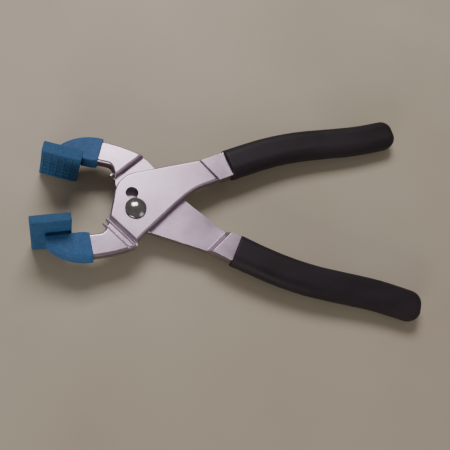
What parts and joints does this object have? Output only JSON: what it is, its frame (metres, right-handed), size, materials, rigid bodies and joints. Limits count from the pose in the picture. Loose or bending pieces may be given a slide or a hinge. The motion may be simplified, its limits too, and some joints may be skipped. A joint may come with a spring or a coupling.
{
  "type": "running pliers",
  "caption": "Slip-joint pliers with slim curved jaws that carry wide padded blocks, one hollow and one crowned, to break glass along a score line.",
  "frame": {"origin": "on the pivot bolt's axis, half way between the two levers", "axes": "+X runs along the handles, +Y is towards the jaw of the rear lever (the jaw with the hollow pad), +Z points out of the bolt's domed head"},
  "size_m": [0.1998, 0.1159, 0.0294],
  "materials": {
    "plated_steel": "satin nickel plate over forged and ground steel",
    "bolt_steel": "polished plate",
    "bar_steel": "plain steel",
    "vinyl_grip": "satin dipped vinyl",
    "blue_boot": "satin moulded plastic",
    "blue_pad": "matt moulded rubber"
  },
  "bodies": {
    "front_lever": {"front_lever": "plated_steel", "front_grip": "vinyl_grip", "lower_jaw_boot": "blue_boot", "lower_pad": "blue_pad", "lower_pad_bar": "bar_steel", "lower_bar_rivets": "bar_steel"},
    "pivot": {"pivot_bolt": "bolt_steel", "pivot_washer": "bolt_steel", "pivot_nut": "bolt_steel"},
    "rear_lever": {"rear_lever": "plated_steel", "rear_grip": "vinyl_grip", "upper_jaw_boot": "blue_boot", "upper_pad": "blue_pad", "upper_pad_bar": "bar_steel", "upper_bar_rivets": "bar_steel"}
  },
  "joints": [
    {"name": "slip_shift", "type": "hinge", "parent": "front_lever", "child": "pivot", "pos_m": [0.04734, 0.01552, 0], "axis": [0, 0, -1], "range_deg": [0, 9.5]},
    {"name": "jaw_pivot", "type": "hinge", "parent": "pivot", "child": "rear_lever", "pos_m": [0, 0, 0], "axis": [0, 0, 1], "range_deg": [-18, 31]}
  ]
}
